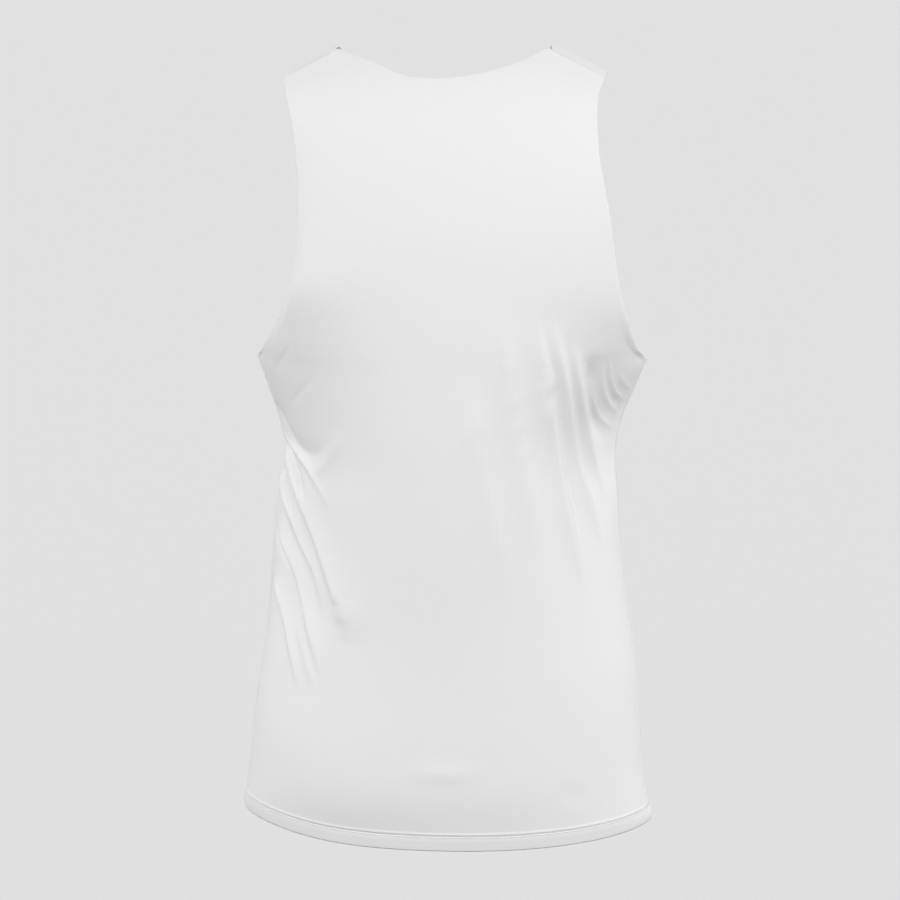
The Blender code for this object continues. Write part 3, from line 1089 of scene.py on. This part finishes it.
def make_floor():
    """A wide level floor, far below the garment."""
    half = FLOOR_SIZE / 2
    corners = [(-half, -half, 0), (half, -half, 0), (half, half, 0), (-half, half, 0)]
    mesh = bpy.data.meshes.new("floor")
    mesh.from_pydata(corners, [], [(0, 1, 2, 3)])
    mesh.materials.append(painted_floor())
    floor = bpy.data.objects.new("floor", mesh)
    floor.location.z = FLOOR_HEIGHT
    floor.visible_diffuse = False
    bpy.context.scene.collection.objects.link(floor)


def make_light(context):
    """A ring of soft light all round, a little above the garment, over a darker room."""
    world = bpy.data.worlds.new("studio")
    context.scene.world = world
    world.use_nodes = True
    tree = world.node_tree
    tree.nodes.clear()
    way = add(tree, "ShaderNodeTexCoord")
    parts = add(tree, "ShaderNodeSeparateXYZ", {"Vector": way.outputs["Generated"]})
    rise = add(tree, "ShaderNodeMapRange", {"Value": parts.outputs["Z"], "From Min": -1.0})
    ramp = add(tree, "ShaderNodeValToRGB", {"Fac": rise.outputs["Result"]})
    marks = ramp.color_ramp.elements
    while len(marks) < len(LIGHT_RING):
        marks.new(0.5)
    for mark, (height, strength) in zip(marks, LIGHT_RING):
        mark.position = (math.sin(math.radians(height)) + 1) / 2
        share = strength / LIGHT_PEAK
        mark.color = (share, share, share, 1)
    x, y = parts.outputs["X"], parts.outputs["Y"]
    ends = add(tree, "ShaderNodeMath", {0: y, 1: y}, operation="MULTIPLY")
    sides = add(tree, "ShaderNodeMath", {0: x, 1: x}, operation="MULTIPLY")
    spread = add(
        tree, "ShaderNodeMath", {0: ends.outputs[0], 1: sides.outputs[0]}, operation="SUBTRACT"
    )
    near = add(
        tree,
        "ShaderNodeMath",
        {0: spread.outputs[0], 1: LIGHT_ENDS, 2: 1.0},
        operation="MULTIPLY_ADD",
    )
    behind = add(
        tree, "ShaderNodeMath", {0: y, 1: LIGHT_BEHIND, 2: near.outputs[0]}, operation="MULTIPLY_ADD"
    )
    gain = add(
        tree, "ShaderNodeMath", {0: x, 1: -LIGHT_RIGHT, 2: behind.outputs[0]}, operation="MULTIPLY_ADD"
    )
    strength = add(
        tree, "ShaderNodeMath", {0: gain.outputs[0], 1: LIGHT_PEAK}, operation="MULTIPLY"
    )
    sky = add(
        tree,
        "ShaderNodeBackground",
        {"Color": ramp.outputs["Color"], "Strength": strength.outputs[0]},
    )
    add(tree, "ShaderNodeOutputWorld", {"Surface": sky.outputs["Background"]})
    context.scene.view_settings.view_transform = "Standard"


def make_camera(context):
    """The camera, which looks at the target from its azimuth and elevation, rolled a little."""
    azimuth, elevation = math.radians(CAMERA_AZIMUTH), math.radians(CAMERA_ELEVATION)
    flat = math.cos(elevation)
    back = Vector((math.sin(azimuth) * flat, -math.cos(azimuth) * flat, math.sin(elevation)))
    right = (-back).cross(Vector((0, 0, 1))).normalized()
    upward = right.cross(-back)
    turned = Matrix.Rotation(math.radians(CAMERA_ROLL), 3, back)
    right, upward = turned @ right, turned @ upward
    data = bpy.data.cameras.new("camera")
    data.lens = CAMERA_LENS
    data.sensor_width = SENSOR_WIDTH
    data.clip_end = CAMERA_REACH
    camera = bpy.data.objects.new("camera", data)
    basis = Matrix((right, upward, back)).transposed()
    camera.matrix_world = Matrix.Translation(
        Vector(CAMERA_TARGET) + back * CAMERA_DISTANCE
    ) @ basis.to_4x4()
    context.scene.collection.objects.link(camera)
    context.scene.camera = camera


class TANKTOP_PT_panel(bpy.types.Panel):
    bl_idname = "TANKTOP_PT_panel"
    bl_label = "Tank Top"
    bl_space_type = "VIEW_3D"
    bl_region_type = "UI"
    bl_category = "Tank Top"

    def draw(self, context):
        for group in (context.scene.tank_top_sizes, context.scene.tank_top_colours):
            box = self.layout.box()
            for name in group.__annotations__:
                box.prop(group, name)
        for operator in OPERATORS:
            self.layout.operator(operator.bl_idname)


OPERATORS = (
    TANKTOP_OT_back_panel,
    TANKTOP_OT_front_panel,
    TANKTOP_OT_hem_bands,
    TANKTOP_OT_stitches,
    TANKTOP_OT_studio,
)
CLASSES = (TankTopSizes, TankTopColours, *OPERATORS, TANKTOP_PT_panel)


def register():
    for item in CLASSES:
        bpy.utils.register_class(item)
    bpy.types.Scene.tank_top_sizes = PointerProperty(type=TankTopSizes)
    bpy.types.Scene.tank_top_colours = PointerProperty(type=TankTopColours)


def unregister():
    del bpy.types.Scene.tank_top_colours
    del bpy.types.Scene.tank_top_sizes
    for item in reversed(CLASSES):
        bpy.utils.unregister_class(item)


def main():
    register()
    bpy.ops.tanktop.back_panel()
    bpy.ops.tanktop.front_panel()
    bpy.ops.tanktop.hem_bands()
    bpy.ops.tanktop.stitches()
    bpy.ops.tanktop.studio()


if __name__ == "__main__":
    main()
